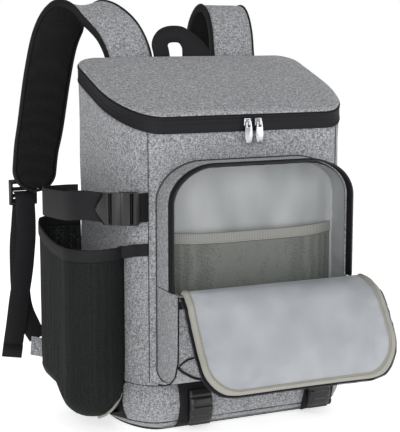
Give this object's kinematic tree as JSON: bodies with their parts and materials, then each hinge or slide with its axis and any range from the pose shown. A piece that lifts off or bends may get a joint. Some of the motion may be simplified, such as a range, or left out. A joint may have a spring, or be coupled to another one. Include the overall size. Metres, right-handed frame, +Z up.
{
  "type": "cooler backpack",
  "caption": "Heather-grey cooler backpack standing upright, with a sloping zipped lid, an open front pocket with its flap hanging down, a side mesh pocket and shoulder straps.",
  "frame": {"origin": "centre of the flat underside of the base", "axes": "+Z up, -Y the front with the open pocket, -X the side with the mesh pocket"},
  "size_m": [0.4188, 0.42, 0.5203],
  "materials": {
    "heather_cloth": "heather grey woven polyester, matt",
    "black_webbing": "black ribbed webbing and binding tape",
    "black_mesh": "black knitted mesh",
    "grey_mesh": "fine grey net",
    "grey_elastic": "grey covered elastic",
    "lining_foil": "light grey coated lining, low sheen",
    "light_binding": "light grey binding tape",
    "black_plastic": "moulded, satin black",
    "zip_metal": "bright nickel plate",
    "sole_cloth": "black coated cloth"
  },
  "bodies": {
    "bag": {"base_sole": "sole_cloth", "body_shell": "heather_cloth", "bottom_buckle_left": "black_plastic", "bottom_buckle_right": "black_plastic", "bottom_strap_left": "black_webbing", "bottom_strap_right": "black_webbing", "carry_handle": "black_webbing", "flap_binding": "light_binding", "flap_zip_tape": "black_webbing", "ladder_lock_left": "black_plastic", "ladder_lock_right": "black_plastic", "lid": "heather_cloth", "lid_back_hinge": "heather_cloth", "lid_zip_tape": "black_webbing", "pocket_flap": "lining_foil", "pocket_inner_elastic": "grey_elastic", "pocket_inner_mesh": "grey_mesh", "pocket_lining": "lining_foil", "pocket_piping": "black_webbing", "pocket_shell": "heather_cloth", "pocket_zip_tape": "black_webbing", "shoulder_strap_left": "heather_cloth", "shoulder_strap_right": "heather_cloth", "side_buckle_plug": "black_plastic", "side_buckle_socket": "black_plastic", "side_pocket_binding": "black_webbing", "side_pocket_mesh": "black_mesh", "side_strap": "black_webbing", "side_strap_anchor": "black_webbing", "strap_anchor_web_left": "black_webbing", "strap_anchor_web_right": "black_webbing", "strap_binding_left": "black_webbing", "strap_binding_right": "black_webbing", "strap_mesh_left": "black_mesh", "strap_mesh_right": "black_mesh", "strap_tab_left": "heather_cloth", "strap_tab_right": "heather_cloth", "strap_tail_left": "black_webbing", "strap_tail_right": "black_webbing", "zip_end_tab_left": "black_webbing", "zip_end_tab_right": "black_webbing", "zip_slider_left": "zip_metal", "zip_slider_right": "zip_metal"},
    "pull_left": {"zip_pull_left": "zip_metal"},
    "pull_right": {"zip_pull_right": "zip_metal"}
  },
  "joints": [
    {"name": "pull_left_swing", "type": "hinge", "parent": "bag", "child": "pull_left", "pos_m": [-0.00125, -0.0965, 0.372], "axis": [-1, 0, 0], "range_deg": [0, 150]},
    {"name": "pull_right_swing", "type": "hinge", "parent": "bag", "child": "pull_right", "pos_m": [0.01325, -0.0965, 0.372], "axis": [-1, 0, 0], "range_deg": [0, 150]}
  ]
}
